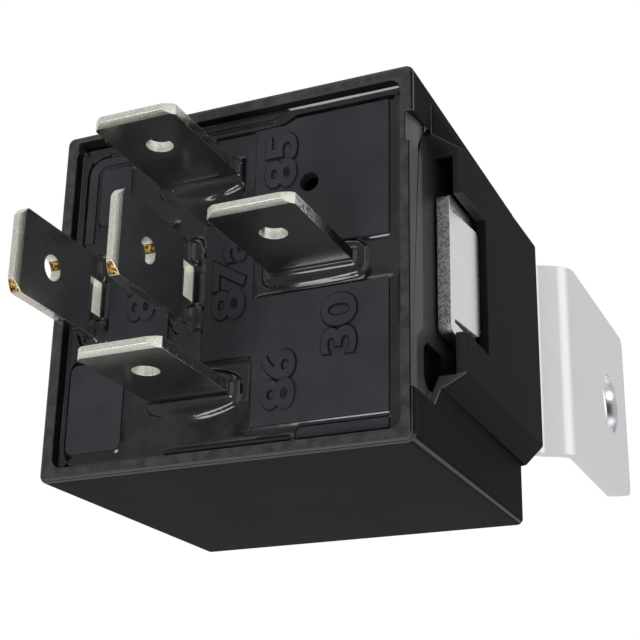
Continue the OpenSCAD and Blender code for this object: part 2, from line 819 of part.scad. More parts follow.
module return_spring() {
    mean_r = (spring_d - spring_wire) / 2;
    coil_start = lug_depth + 1.6;
    color([0.7, 0.7, 0.7]) translate([spring_x, 0, 0]) {
        for (i = [0 : spring_turns - 1])
            translate([0, 0, -coil_start - i * spring_wire * 0.98])
                rotate_extrude() translate([mean_r, 0]) circle(d = spring_wire, $fn = 24);
        coil_end = coil_start + (spring_turns - 1) * spring_wire * 0.98;
        for (hook = [[coil_start, lug_depth - 0.3], [coil_end, leaf_depth + 0.3]]) {
            towards = sign(hook[1] - hook[0]);
            post(0, 0, spring_wire, max(hook), min(hook));
            translate([0, 0, -hook[0]]) rotate([0, 90, 0])
                cylinder(d = spring_wire, h = mean_r, $fn = 24);
            translate([0, 0, -hook[1] + towards * 0.05]) rotate([0, 90, 0])
                translate([0, 0, -0.75]) cylinder(d = spring_wire, h = 1.5, $fn = 24);
        }
    }
}

// Down the common terminal's tab, round one bend and along the open leaf's back
module flexible_braid() {
    turn = 90 - open_angle;
    far = 3 * braid_bend;
    inner_x = yoke_out + blade_t + braid_gap;
    centre_x = inner_x - braid_bend;
    rise = leaf_top - pole_depth + braid_gap - braid_bend;
    turn_depth = pole_depth + (rise + (yoke_out - centre_x) * sin(open_angle)) / cos(open_angle);
    run = (centre_x - weld_x - 0.4) / cos(open_angle);
    color([0.78, 0.45, 0.28]) along_y(braid_w, braid_y) {
        translate([inner_x, -turn_depth]) square([braid_t, turn_depth - braid_start]);
        translate([centre_x, -turn_depth]) {
            intersection() {
                difference() {
                    circle(r = braid_bend + braid_t);
                    circle(r = braid_bend);
                }
                polygon([[0, 0], [far, 0], [far, -far], [far * cos(turn), -far * sin(turn)]]);
            }
            rotate(-turn) translate([braid_bend, -run]) square([braid_t, run]);
        }
    }
}

cover();
base();
sealing_resin();
bracket();
terminal_30();
coil_terminal(1);  // terminal_85
coil_terminal(-1);  // terminal_86
terminal_87();
terminal_87a();
yoke();
core();
bobbin();
coil_winding();
coil_tape();
coil_lead(1);  // coil_lead_85
coil_lead(-1);  // coil_lead_86
armature();
contact_leaf();
leaf_rivet(leaf_rivets[0]);  // leaf_rivet_inner
leaf_rivet(leaf_rivets[1]);  // leaf_rivet_outer
moving_contact();
fixed_contact(no_face, no_depth + blade_t);  // contact_no
fixed_contact(nc_face, nc_depth);  // contact_nc
return_spring();
flexible_braid();
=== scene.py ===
# %% [markdown]
# # A sealed changeover relay with a mounting bracket
#
# The relay is a black moulded box, open at one end. A base closes that end, black resin seals it,
# and five flat blades come out of it. A folded steel bracket sits in a pocket on one side.
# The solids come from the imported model, which fixes every size and place. This file gives them
# the small rounds, marks and finishes that make them look real.

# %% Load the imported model
import math

import bmesh
import bpy
import numpy as np
from mathutils import Matrix, Vector
from mathutils.bvhtree import BVHTree


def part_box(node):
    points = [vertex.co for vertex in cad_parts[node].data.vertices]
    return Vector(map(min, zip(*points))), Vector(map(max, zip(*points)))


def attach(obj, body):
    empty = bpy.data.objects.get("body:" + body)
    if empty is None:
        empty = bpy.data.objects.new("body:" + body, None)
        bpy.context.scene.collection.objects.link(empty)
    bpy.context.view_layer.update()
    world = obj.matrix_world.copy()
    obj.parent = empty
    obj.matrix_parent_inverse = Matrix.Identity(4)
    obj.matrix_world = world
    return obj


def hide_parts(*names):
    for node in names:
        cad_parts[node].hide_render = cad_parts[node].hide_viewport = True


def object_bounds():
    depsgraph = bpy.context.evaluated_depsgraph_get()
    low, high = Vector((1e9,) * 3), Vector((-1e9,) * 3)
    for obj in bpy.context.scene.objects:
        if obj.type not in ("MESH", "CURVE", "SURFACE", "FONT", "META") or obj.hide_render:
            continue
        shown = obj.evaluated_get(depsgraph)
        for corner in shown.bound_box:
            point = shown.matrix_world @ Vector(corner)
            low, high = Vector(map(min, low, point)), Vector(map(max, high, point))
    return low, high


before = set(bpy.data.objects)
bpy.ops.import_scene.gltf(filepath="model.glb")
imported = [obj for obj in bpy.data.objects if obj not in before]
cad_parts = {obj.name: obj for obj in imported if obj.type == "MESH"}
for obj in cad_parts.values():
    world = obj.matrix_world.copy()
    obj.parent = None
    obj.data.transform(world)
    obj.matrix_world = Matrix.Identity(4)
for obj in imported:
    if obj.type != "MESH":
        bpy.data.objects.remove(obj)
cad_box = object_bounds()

MM = 0.001
print("CAD nodes:", len(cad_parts))


# %% [markdown]
# ## Camera
#
# A camera can be placed by three vectors: where its right, its top and its back point. They go
# into the columns of its matrix. The lens is long, so that the box shows only slight perspective.

# %% Place the camera
CAMERA_AT = Vector((45.532, -41.520, 83.119)) * MM
CAMERA_RIGHT = Vector((0.91205, 0.01633, -0.40976))
CAMERA_BACK = Vector((0.38835, -0.35537, 0.85023)).normalized()
CAMERA_UP = CAMERA_BACK.cross(CAMERA_RIGHT).normalized()
CAMERA_RIGHT = CAMERA_UP.cross(CAMERA_BACK)
FOCAL_LENGTH = 82.11
SHIFT_UP = 0.0469

camera_data = bpy.data.cameras.new("camera")
camera_data.sensor_width = 36
camera_data.lens = FOCAL_LENGTH
camera_data.shift_y = SHIFT_UP
camera_data.clip_start = 5 * MM
camera = bpy.data.objects.new("camera", camera_data)
bpy.context.scene.collection.objects.link(camera)
turn = Matrix((CAMERA_RIGHT, CAMERA_UP, CAMERA_BACK)).transposed()
camera.matrix_world = Matrix.Translation(CAMERA_AT) @ turn.to_4x4()
bpy.context.scene.camera = camera
print("camera at", [round(c, 4) for c in CAMERA_AT])


# %% [markdown]
# ## Studio
#
# A pale floor lies under the relay, a pale wall stands on its +X side, and the world lights it evenly
# from all round. With Light Path, all three are plain white for the camera, so the background is
# white while the lamps stay at a plain level. Reflections see their own levels: the wall is brighter
# than the floor, and it draws a white band along the bracket's bend. Two lamps add what glossy resin
# and sheared metal need: a small bright one that draws thin lines, and a wide one for the far side.

# %% Floor, wall and world
FLOOR_Z = cad_box[0][2] - 6 * MM
FLOOR_WIDTH = 4
WALL_X = 0.6
WALL_WIDTH = 1.6
WALL_SQUASH = 0.4
PALE = (0.8, 0.8, 0.8, 1)
WHITE = 1.03
# The rest of what the camera sees is the pale paint, and with it the relay's faint shadow.
WHITE_SHARE = 0.97


def studio_white(name, mirrored):
    """Plain white for the camera, a level of its own for reflections, and pale paint otherwise."""
    material = bpy.data.materials.new(name)
    material.use_nodes = True
    tree = material.node_tree
    tree.nodes.clear()
    output = tree.nodes.new("ShaderNodeOutputMaterial")
    plain = tree.nodes.new("ShaderNodeBsdfDiffuse")
    plain.inputs["Color"].default_value = PALE
    path = tree.nodes.new("ShaderNodeLightPath")
    below = plain.outputs[0]
    for ray, level, share in (("Is Glossy Ray", mirrored, 1), ("Is Camera Ray", WHITE, WHITE_SHARE)):
        glow = tree.nodes.new("ShaderNodeEmission")
        glow.inputs["Strength"].default_value = level
        factor = tree.nodes.new("ShaderNodeMath")
        factor.operation = "MULTIPLY"
        factor.inputs[1].default_value = share
        mix = tree.nodes.new("ShaderNodeMixShader")
        tree.links.new(path.outputs[ray], factor.inputs[0])
        tree.links.new(factor.outputs[0], mix.inputs["Fac"])
        tree.links.new(below, mix.inputs[1])
        tree.links.new(glow.outputs[0], mix.inputs[2])
        below = mix.outputs[0]
    tree.links.new(below, output.inputs["Surface"])
    return material


def make_floor():
    """A wide plain sheet under the relay."""
    bpy.ops.mesh.primitive_plane_add(size=FLOOR_WIDTH, location=(0, 0, FLOOR_Z))
    floor = bpy.context.object
    floor.name = "studio_floor"
    floor.data.materials.append(studio_white("studio_floor", mirrored=0.68))


def make_wall():
    """An upright sheet that stands on the floor and faces the bracket, wider than it is high."""
    bpy.ops.mesh.primitive_plane_add(size=WALL_WIDTH, rotation=(0, math.pi / 2, 0))
    wall = bpy.context.object
    wall.name = "studio_wall"
    bpy.ops.object.transform_apply(location=True, rotation=True, scale=True)
    lifted = Matrix.Translation((0, 0, WALL_WIDTH / 2))
    squashed = Matrix.Diagonal((1, 1, WALL_SQUASH, 1))
    placed = Matrix.Translation((WALL_X, 0, FLOOR_Z))
    wall.data.transform(placed @ squashed @ lifted)
    wall.data.materials.append(studio_white("studio_wall", mirrored=1.1))


def make_world(level):
    """Even light of the given level, which the camera sees as plain white."""
    world = bpy.data.worlds.new("studio")
    bpy.context.scene.world = world
    world.use_nodes = True
    tree = world.node_tree
    background = tree.nodes["Background"]
    background.inputs["Color"].default_value = (1, 1, 1, 1)
    path = tree.nodes.new("ShaderNodeLightPath")
    strength = tree.nodes.new("ShaderNodeMapRange")
    strength.inputs["To Min"].default_value = level
    strength.inputs["To Max"].default_value = WHITE
    tree.links.new(path.outputs["Is Camera Ray"], strength.inputs["Value"])
    tree.links.new(strength.outputs["Result"], background.inputs["Strength"])


# %% Lamps
def make_lamp(name, direction, distance, size, radiance):
    """A square lamp that faces the relay from the given direction."""
    data = bpy.data.lights.new(name, "AREA")
    data.shape = "SQUARE"
    data.size = size
    data.energy = radiance * math.pi * size * size
    lamp = bpy.data.objects.new(name, data)
    bpy.context.scene.collection.objects.link(lamp)
    towards = Vector(direction).normalized()
    place = Matrix.Translation(towards * distance)
    lamp.matrix_world = place @ towards.to_track_quat("Z", "Y").to_matrix().to_4x4()


make_floor()
make_wall()
make_world(level=0.47)
make_lamp("key_lamp", direction=(-0.2, -0.75, 0.7), distance=0.5, size=0.23, radiance=7)
make_lamp("fill_lamp", direction=(-0.2, 0.95, 0.45), distance=0.7, size=0.4, radiance=1.0)
bpy.context.scene.view_settings.view_transform = "Standard"
print("floor at", round(FLOOR_Z / MM, 1), "mm")


# %% [markdown]
# ## Shader sums
#
# Node trees are easier to read as sums. `Wire` wraps one socket, and each operator on it adds the
# Math node that does it, also when the number stands first, as in `1 - mask`. `Finish` makes a
# material, and its one method `add` makes any other node from its type, settings and sockets.

# %% Wire
class Wire:
    """One output socket, ready to be used in sums."""

    def __init__(self, finish, socket):
        self.finish = finish
        self.socket = socket

    def _math(self, operation, first, second):
        return self.finish.add("ShaderNodeMath", {"operation": operation}, {0: first, 1: second})

    def __add__(self, other):
        return self._math("ADD", self, other)

    def __radd__(self, other):
        return self._math("ADD", other, self)

    def __sub__(self, other):
        return self._math("SUBTRACT", self, other)

    def __rsub__(self, other):
        return self._math("SUBTRACT", other, self)

    def __mul__(self, other):
        return self._math("MULTIPLY", self, other)

    def __rmul__(self, other):
        return self._math("MULTIPLY", other, self)


# %% Finish
# A Mix node has sockets for numbers, vectors and colours. These are the places of its colour ones.
COLOUR_A, COLOUR_B, COLOUR_OUT = 6, 7, 2


class Finish:
    """A material whose nodes are added one call at a time."""

    def __init__(self, name, **constants):
        self.material = bpy.data.materials.new(name)
        self.material.use_nodes = True
        self.tree = self.material.node_tree
        self.shader = self.tree.nodes["Principled BSDF"]
        self.set(**constants)

    def plug(self, socket, value):
        """A wire becomes a link, and anything else a constant."""
        if isinstance(value, Wire):
            self.tree.links.new(value.socket, socket)
        else:
            socket.default_value = value

    def add(self, kind, settings=None, sockets=None, out=0):
        """A node with its settings made first and then its sockets, as a wire from one output."""
        node = self.tree.nodes.new(kind)
        for name, value in (settings or {}).items():
            setattr(node, name, value)
        for name, value in (sockets or {}).items():
            self.plug(node.inputs[name], value)
        return Wire(self, node.outputs[out])

    def set(self, **inputs):
        """Base_Color="..." and so on: an underscore stands for a space in the socket's name."""
        for name, value in inputs.items():
            self.plug(self.shader.inputs[name.replace("_", " ")], value)

    def place(self, scale=(1, 1, 1)):
        """Object coordinates, each multiplied by its scale."""
        point = self.add("ShaderNodeTexCoord", out="Object")
        return self.add("ShaderNodeMapping", {}, {"Vector": point, "Scale": scale})

    def noise(self, size, detail=3, stretch=(1, 1, 1), roughness=0.5):
        """Noise with blobs about size metres wide, longer along an axis whose stretch is under 1."""
        sockets = {"Vector": self.place(stretch), "Scale": 1 / size, "Detail": detail,
                   "Roughness": roughness}
        return self.add("ShaderNodeTexNoise", {}, sockets, out="Fac")

    def grains(self, size):
        """Distance from the middle of cells that are about size metres wide."""
        sockets = {"Vector": self.place(), "Scale": 1 / size}
        return self.add("ShaderNodeTexVoronoi", {}, sockets, out="Distance")

    def ramp(self, value, low, high):
        """0 at low, 1 at high and smooth between them, where low may be the larger of the two."""
        settings = {"interpolation_type": "SMOOTHSTEP"}
        return self.add("ShaderNodeMapRange", settings,
                        {"Value": value, "From Min": low, "From Max": high})

    def blend(self, factor, first, second):
        """A colour between two colours, each of them a blend or a red, green and blue."""
        first, second = [c if isinstance(c, Wire) else (*c, 1) for c in (first, second)]
        sockets = {"Factor": factor, COLOUR_A: first, COLOUR_B: second}
        return self.add("ShaderNodeMix", {"data_type": "RGBA"}, sockets, out=COLOUR_OUT)

    def bump(self, height, depth, strength):
        """A bump of the given depth in metres."""
        sockets = {"Height": height, "Distance": depth, "Strength": strength}
        self.set(Normal=self.add("ShaderNodeBump", {}, sockets, out="Normal"))


print("shader helpers ready")


# %% [markdown]
# ## Black mouldings
#
# The cover is glass-filled nylon, nearly matt, with a fine cloudy grain from the mould. Its edges
# shine more than its sides, and their paler colour is a painted highlight. Its rim, its pocket's mouth,
# the bar across that mouth and the side that carries the bracket are painted a greyer black as painted
# light. The base is moulded from a bluer black plastic whose pads have a slight sparkle. Each finish is
# one dark colour that noise of one or two sizes breaks up, which is all that such plain plastic shows.

# %% Cover's plain sides, one of them painted a little paler
def black_moulding():
    """Nearly matt nylon with a fine grain."""
    finish = Finish("black_moulding", Specular_IOR_Level=0.02, IOR=1.5)
    cloud = finish.noise(6 * MM, 4)
    grain = finish.noise(0.09 * MM, 2)
    tint = finish.ramp(cloud, 0.3, 0.7)
    finish.set(Base_Color=finish.blend(tint, (0.0126, 0.0126, 0.0129), (0.0148, 0.0148, 0.0151)))
    finish.set(Roughness=0.52 + 0.12 * grain)
    finish.bump(grain, 0.004 * MM, 0.5)
    return finish.material


def outer_side():
    """The same nylon on the side that carries the bracket, painted a little paler as painted light."""
    finish = Finish("outer_side", Specular_IOR_Level=0.02, IOR=1.5)
    cloud = finish.noise(6 * MM, 4)
    tint = finish.ramp(cloud, 0.3, 0.7)
    finish.set(Base_Color=finish.blend(tint, (0.0205, 0.0205, 0.0208), (0.0235, 0.0235, 0.0238)))
    finish.set(Roughness=0.52 + 0.12 * cloud)
    return finish.material


BLACK_MOULDING = black_moulding()
OUTER_SIDE = outer_side()
print("cover's plastic:", BLACK_MOULDING.name, OUTER_SIDE.name)


# %% Cover's edges and faces with painted light
def painted_edge_highlight():
    """Edges with a little more gloss, their paler colour a painted highlight."""
    finish = Finish("painted_edge_highlight", Specular_IOR_Level=0.3, IOR=1.5)
    sheen_noise = finish.noise(1.2 * MM, 5)
    finish.set(Base_Color=finish.blend(sheen_noise, (0.045, 0.045, 0.046), (0.075, 0.075, 0.077)))
    finish.set(Roughness=0.4 + 0.2 * sheen_noise)
    finish.bump(finish.noise(0.15 * MM, 3), 0.004 * MM, 0.6)
    return finish.material


def rim_face():
    """The rim's flat top and the walls just inside it, painted paler as painted light, cloudy and a
    little rough.
    """
    finish = Finish("rim_face", Specular_IOR_Level=0.5, IOR=1.5)
    cloud = finish.noise(0.9 * MM, 5)
    grain = finish.noise(0.1 * MM, 3)
    tint = finish.ramp(cloud, 0.35, 0.65)
    finish.set(Base_Color=finish.blend(tint, (0.020, 0.022, 0.021), (0.048, 0.051, 0.049)))
    finish.set(Roughness=0.34 + 0.2 * grain)
    finish.bump(cloud + 0.4 * grain, 0.02 * MM, 0.6)
    return finish.material


def painted_glint_face():
    """Facets of the pocket's mouth, painted pale as a highlight."""
    finish = Finish("painted_glint_face", Specular_IOR_Level=0.4, IOR=1.5)
    sheen_noise = finish.noise(0.9 * MM, 4)
    finish.set(Base_Color=finish.blend(sheen_noise, (0.07, 0.07, 0.072), (0.16, 0.16, 0.162)))
    finish.set(Roughness=0.3 + 0.25 * sheen_noise)
    finish.bump(sheen_noise, 0.02 * MM, 0.5)
    return finish.material


def bar_highlight():
    """The bar across the mouth, painted paler as a highlight and streaked along its length."""
    finish = Finish("bar_highlight", Specular_IOR_Level=0.35, IOR=1.5)
    streak = finish.noise(0.5 * MM, 4, (1, 0.25, 1))
    finish.set(Base_Color=finish.blend(streak, (0.028, 0.029, 0.030), (0.110, 0.112, 0.113)))
    finish.set(Roughness=0.35 + 0.2 * streak)
    finish.bump(streak, 0.01 * MM, 0.5)
    return finish.material


def mouth_wall():
    """Walls of the pocket's mouth, a slightly bluish black painted paler as painted light."""
    finish = Finish("mouth_wall", Specular_IOR_Level=0.3, IOR=1.5)
    cloud = finish.noise(1.5 * MM, 4)
    finish.set(Base_Color=finish.blend(cloud, (0.022, 0.024, 0.028), (0.046, 0.048, 0.053)))
    finish.set(Roughness=0.35 + 0.2 * cloud)
    finish.bump(cloud, 0.008 * MM, 0.5)
    return finish.material


# Edges, rim, facets, bar and mouth walls all carry painted light in their colour.
PAINTED_EDGE_HIGHLIGHT = painted_edge_highlight()
RIM_FACE = rim_face()
PAINTED_GLINT_FACE = painted_glint_face()
BAR_HIGHLIGHT = bar_highlight()
MOUTH_WALL = mouth_wall()
print("worn plastic:", PAINTED_EDGE_HIGHLIGHT.name, RIM_FACE.name, BAR_HIGHLIGHT.name, MOUTH_WALL.name)


# %% Base plastic
def pad_moulding():
    """The base's pads, with clouds, grain and a few specks."""
    finish = Finish("pad_moulding", Specular_IOR_Level=0.4, IOR=1.5)
    cloud = finish.noise(3 * MM, 5)
    grain = finish.noise(0.12 * MM, 3)
    speck = finish.ramp(finish.grains(0.35 * MM), 0.12, 0.02)
    tint = finish.ramp(cloud, 0.32, 0.68)
    dark = (0.0225, 0.0243, 0.0308)
    light = (0.0312, 0.0335, 0.0412)
    shade = finish.blend(tint, dark, light)
    finish.set(Base_Color=finish.blend(speck * 0.35, shade, (0.07, 0.07, 0.08)))
    finish.set(Roughness=0.42 + 0.22 * grain)
    finish.bump(grain, 0.011 * MM, 0.8)
    return finish.material


def painted_number_shadow():
    """A painted shadow: the dark outline round a raised number."""
    finish = Finish("painted_number_shadow", Specular_IOR_Level=0.2, IOR=1.5)
    grain = finish.noise(0.15 * MM, 3)
    finish.set(Base_Color=finish.blend(grain, (0.008, 0.0085, 0.011), (0.014, 0.015, 0.018)))
    finish.set(Roughness=0.5 + 0.2 * grain)
    return finish.material


def vent_inside():
    """Painted shade: the inside of the blind vent, almost black."""
    finish = Finish("vent_inside", Specular_IOR_Level=0.0, Roughness=0.9)
    cloud = finish.noise(0.3 * MM, 2)
    finish.set(Base_Color=finish.blend(cloud, (0.001, 0.001, 0.001), (0.003, 0.003, 0.003)))
    return finish.material


PAD_MOULDING = pad_moulding()
PAINTED_NUMBER_SHADOW = painted_number_shadow()
VENT_INSIDE = vent_inside()
print("base plastic:", PAD_MOULDING.name, PAINTED_NUMBER_SHADOW.name, VENT_INSIDE.name)


# %% [markdown]
# ## Resin
#
# Potting resin is poured in as a liquid, so its surface is as smooth as glass, sags a little between
# the walls and climbs up what it touches. The shape comes later from the mesh. The finish is only a
# very dark, very smooth plastic with slow waves, faint pale patches and a few specks of dust.

# %% Potting resin
def potting_resin():
    """Very dark and smooth, with slow waves and some dust."""
    finish = Finish("potting_resin", Specular_IOR_Level=0.55, IOR=1.53)
    dust = finish.ramp(finish.grains(0.9 * MM), 0.09, 0.03)
    patch = finish.ramp(finish.noise(2.2 * MM, 3), 0.48, 0.66)
    deep = finish.blend(patch, (0.0058, 0.0062, 0.0060), (0.0145, 0.0155, 0.0140))
    finish.set(Base_Color=finish.blend(dust * 0.5, deep, (0.05, 0.05, 0.048)))
    finish.set(Roughness=0.09 + 0.25 * dust)
    waves = finish.noise(3.5 * MM, 2)
    finish.bump(waves + 0.1 * dust, 0.05 * MM, 0.5)
    return finish.material


RESIN = potting_resin()
print("resin:", RESIN.name)


# %% [markdown]
# ## Metals
#
# The blades are brass, tinned on both faces. A press shears them out of the strip, so their edges
# show the shear's fine upright lines, one edge is torn towards its tip, and bare brass shows in places.
# The bracket is steel with a bright zinc plate, and its cut edges are coarse and darker. Each finish is
# a metal whose colour, roughness and bump come from noise, stretched along the marks that the tool
# leaves.

# %% Tin and brass of the blades
def tinned_face():
    """Bright tin with faint rolling lines along Z."""
    finish = Finish("tinned_face", Metallic=1.0)
    cloud = finish.noise(2.5 * MM, 5)
    line = finish.noise(0.12 * MM, 2, (1, 1, 0.06))
    finish.set(Base_Color=finish.blend(cloud, (0.66, 0.68, 0.65), (0.84, 0.86, 0.82)))
    finish.set(Roughness=0.17 + 0.1 * cloud + 0.06 * line)
    finish.bump(line, 0.0015 * MM, 0.6)
    return finish.material


def tin_painted_dark():
    """The tin painted darker as painted shade, with a few bright specks."""
    finish = Finish("tin_painted_dark", Metallic=1.0)
    cloud = finish.noise(2.5 * MM, 5)
    speck = finish.ramp(finish.grains(0.25 * MM), 0.16, 0.05)
    tint = finish.blend(cloud, (0.36, 0.37, 0.35), (0.50, 0.51, 0.48))
    finish.set(Base_Color=finish.blend(speck * 0.6, tint, (0.85, 0.85, 0.78)))
    finish.set(Roughness=0.15 + 0.1 * cloud)
    finish.bump(cloud + 0.05 * speck, 0.002 * MM, 0.6)
    return finish.material


def sheared_side():
    """A sheared edge: fine upright lines, torn here and there."""
    finish = Finish("sheared_side", Metallic=1.0)
    line = finish.noise(0.16 * MM, 4, (1, 1, 0.12))
    tear = finish.ramp(finish.noise(0.5 * MM, 4), 0.56, 0.68)
    finish.set(Base_Color=finish.blend(line, (0.50, 0.49, 0.44), (0.82, 0.81, 0.75)))
    finish.set(Roughness=0.16 + 0.22 * tear)
    finish.bump(line + 2.0 * tear, 0.012 * MM, 0.7)
    return finish.material


def torn_side_painted_light():
    """Gritty, and painted bright near the tip and dark towards the root as painted light."""
    finish = Finish("torn_side_painted_light", Metallic=1.0)
    height = finish.add("ShaderNodeSeparateXYZ", {}, {"Vector": finish.place()}, out="Z")
    # Painted light: bright near the tip, dark towards the root.
    near_tip = finish.ramp(height, 2.5 * MM, 8 * MM)
    grit = finish.ramp(finish.noise(0.28 * MM, 4, (1, 1, 0.5)), 0.40, 0.56)
    bright = near_tip * (0.2 + 0.8 * grit)
    finish.set(Base_Color=finish.blend(bright, (0.08, 0.08, 0.075), (0.95, 0.94, 0.88)))
    finish.set(Roughness=0.42 - 0.12 * grit)
    finish.bump(grit, 0.03 * MM, 0.8)
    return finish.material


def sheared_tip_and_highlight():
    """The coarse end of the strip, with small pits, painted bright as a highlight."""
    finish = Finish("sheared_tip_and_highlight", Metallic=1.0)
    grit = finish.noise(0.11 * MM, 4)
    row = finish.ramp(finish.grains(0.2 * MM), 0.25, 0.1)
    tint = finish.ramp(grit, 0.3, 0.6)
    finish.set(Base_Color=finish.blend(tint, (0.74, 0.73, 0.64), (0.98, 0.97, 0.88)))
    finish.set(Roughness=0.3 + 0.22 * grit)
    finish.bump(grit + 0.4 * row, 0.045 * MM, 0.85)
    return finish.material


def bare_brass():
    """Brass without tin, stained brown in patches."""
    finish = Finish("bare_brass", Metallic=1.0)
    grit = finish.noise(0.2 * MM, 4)
    tint = finish.ramp(grit, 0.42, 0.6)
    finish.set(Base_Color=finish.blend(tint, (0.09, 0.04, 0.01), (0.40, 0.29, 0.09)))
    finish.set(Roughness=0.25 + 0.25 * grit)
    finish.bump(grit, 0.05 * MM, 0.8)
    return finish.material


TINNED_FACE = tinned_face()
TIN_PAINTED_DARK = tin_painted_dark()
SHEARED_SIDE = sheared_side()
TORN_SIDE_PAINTED_LIGHT = torn_side_painted_light()
SHEARED_TIP_AND_HIGHLIGHT = sheared_tip_and_highlight()
BARE_BRASS = bare_brass()
print("blade metals:", TINNED_FACE.name, TIN_PAINTED_DARK.name, SHEARED_SIDE.name, BARE_BRASS.name)


# %% Zinc of the bracket
def zinc_plate():
    """Bright zinc with a soft spangle."""
    finish = Finish("zinc_plate", Metallic=1.0)
    cloud = finish.noise(7 * MM, 4)
    spangle = finish.noise(0.5 * MM, 4)
    finish.set(Base_Color=finish.blend(cloud, (0.84, 0.845, 0.87), (0.90, 0.905, 0.92)))
    finish.set(Roughness=0.27 + 0.1 * spangle)
    finish.bump(spangle, 0.004 * MM, 0.35)
    return finish.material


def zinc_painted_bright():
    """The smooth end of the tongue, painted brighter as painted light."""
    finish = Finish("zinc_painted_bright", Metallic=1.0)
    cloud = finish.noise(3 * MM, 3)
    finish.set(Base_Color=finish.blend(cloud, (0.93, 0.95, 0.92), (0.98, 1.0, 0.97)))
    finish.set(Roughness=0.24 + 0.06 * cloud)
    return finish.material


def zinc_cut():
    """Coarse cut edges, part zinc and part grey steel."""
    finish = Finish("zinc_cut", Metallic=1.0)
    grit = finish.noise(0.16 * MM, 5, roughness=0.7)
    patch = finish.ramp(grit, 0.4, 0.6)
    finish.set(Base_Color=finish.blend(patch, (0.38, 0.385, 0.38), (0.98, 0.99, 0.97)))
    finish.set(Roughness=0.34 + 0.2 * grit)
    finish.bump(grit, 0.05 * MM, 0.9)
    return finish.material


ZINC_PLATE = zinc_plate()
ZINC_PAINTED_BRIGHT = zinc_painted_bright()
ZINC_CUT = zinc_cut()
print("zinc:", ZINC_PLATE.name, ZINC_PAINTED_BRIGHT.name, ZINC_CUT.name)


# %% [markdown]
# ## Finishes inside
#
# The magnet and the contacts are shut in, but each piece gets its own finish: nickel-plated iron,
# natural nylon, enamelled copper wire, amber tape, copper strip, silver alloy and spring wire. As on
# the blades, stretched noise stands for the marks of rolling, winding and drawing.

# %% Finishes of the magnet
def plated_iron():
    """Iron with a thin nickel plate over its rolling lines."""
    finish = Finish("plated_iron", Metallic=1.0)
    cloud = finish.noise(2 * MM, 4)
    line = finish.noise(0.1 * MM, 3, (1, 0.08, 1))
    finish.set(Base_Color=finish.blend(cloud, (0.42, 0.41, 0.38), (0.56, 0.54, 0.50)))
    finish.set(Roughness=0.28 + 0.14 * line)
    finish.bump(line, 0.004 * MM, 0.5)
    return finish.material


def natural_nylon():
    """Uncoloured nylon."""
    finish = Finish("natural_nylon", Specular_IOR_Level=0.45)
    cloud = finish.noise(4 * MM, 4)
    finish.set(Base_Color=finish.blend(cloud, (0.66, 0.62, 0.52), (0.78, 0.75, 0.66)))
    finish.set(Roughness=0.38 + 0.15 * cloud)
    finish.bump(finish.noise(0.2 * MM, 2), 0.004 * MM, 0.5)
    return finish.material


def enamelled_wire():
    """Copper wire in fine turns under clear enamel."""
    finish = Finish("enamelled_wire", Metallic=1.0, Coat_Weight=0.7, Coat_Roughness=0.12)
    cloud = finish.noise(1.5 * MM, 3)
    finish.set(Base_Color=finish.blend(cloud, (0.48, 0.16, 0.05), (0.66, 0.27, 0.10)))
    finish.set(Roughness=0.24 + 0.1 * cloud)
    finish.bump(finish.noise(0.14 * MM, 2, (0.1, 0.1, 1)), 0.01 * MM, 0.5)
    return finish.material


def amber_tape():
    """Glossy tape with a faint weave."""
    finish = Finish("amber_tape", Specular_IOR_Level=0.5)
    weave = finish.noise(0.3 * MM, 3, (1, 1, 0.2))
    finish.set(Base_Color=finish.blend(weave, (0.62, 0.40, 0.08), (0.80, 0.58, 0.16)))
    finish.set(Roughness=0.2 + 0.15 * weave)
    finish.bump(weave, 0.008 * MM, 0.5)
    return finish.material


PLATED_IRON = plated_iron()
NATURAL_NYLON = natural_nylon()
ENAMELLED_WIRE = enamelled_wire()
AMBER_TAPE = amber_tape()
print("magnet:", PLATED_IRON.name, NATURAL_NYLON.name, ENAMELLED_WIRE.name, AMBER_TAPE.name)


# %% Finishes of the contacts
def copper_strip():
    """Rolled copper alloy."""
    finish = Finish("copper_strip", Metallic=1.0)
    line = finish.noise(0.12 * MM, 4, (0.08, 1, 1))
    finish.set(Base_Color=finish.blend(line, (0.60, 0.30, 0.14), (0.78, 0.46, 0.25)))
    finish.set(Roughness=0.22 + 0.16 * line)
    finish.bump(line, 0.004 * MM, 0.5)
    return finish.material


def silver_alloy():
    """Pale contact metal."""
    finish = Finish("silver_alloy", Metallic=1.0)
    cloud = finish.noise(0.6 * MM, 4)
    finish.set(Base_Color=finish.blend(cloud, (0.72, 0.71, 0.68), (0.86, 0.85, 0.83)))
    finish.set(Roughness=0.25 + 0.18 * cloud)
    finish.bump(cloud, 0.004 * MM, 0.4)
    return finish.material


def spring_wire():
    """Drawn steel wire."""
    finish = Finish("spring_wire", Metallic=1.0)
    line = finish.noise(0.05 * MM, 3)
    finish.set(Base_Color=finish.blend(line, (0.40, 0.40, 0.41), (0.58, 0.58, 0.60)))
    finish.set(Roughness=0.2 + 0.15 * line)
    finish.bump(line, 0.003 * MM, 0.4)
    return finish.material


COPPER_STRIP = copper_strip()
SILVER_ALLOY = silver_alloy()
SPRING_WIRE = spring_wire()
print("contacts:", COPPER_STRIP.name, SILVER_ALLOY.name, SPRING_WIRE.name)


# %% [markdown]
# ## Working on one piece at a time
#
# An operator acts on whatever is selected, so each step first clears the selection and then takes
# the one piece it works on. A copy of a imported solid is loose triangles: its doubles are merged and
# its flat faces are joined again, and then a bevel rounds the edges that a mould or a press rounds.
# Faces that need another finish are then found by where they lie and where they point.

# %% Selection and working copies
SAME_POINT = 0.002 * MM
FLAT_ANGLE = math.radians(0.5)


def take(piece):
    """Only this piece is selected and active."""
    bpy.ops.object.select_all(action="DESELECT")
    piece.select_set(True)
    bpy.context.view_layer.objects.active = piece


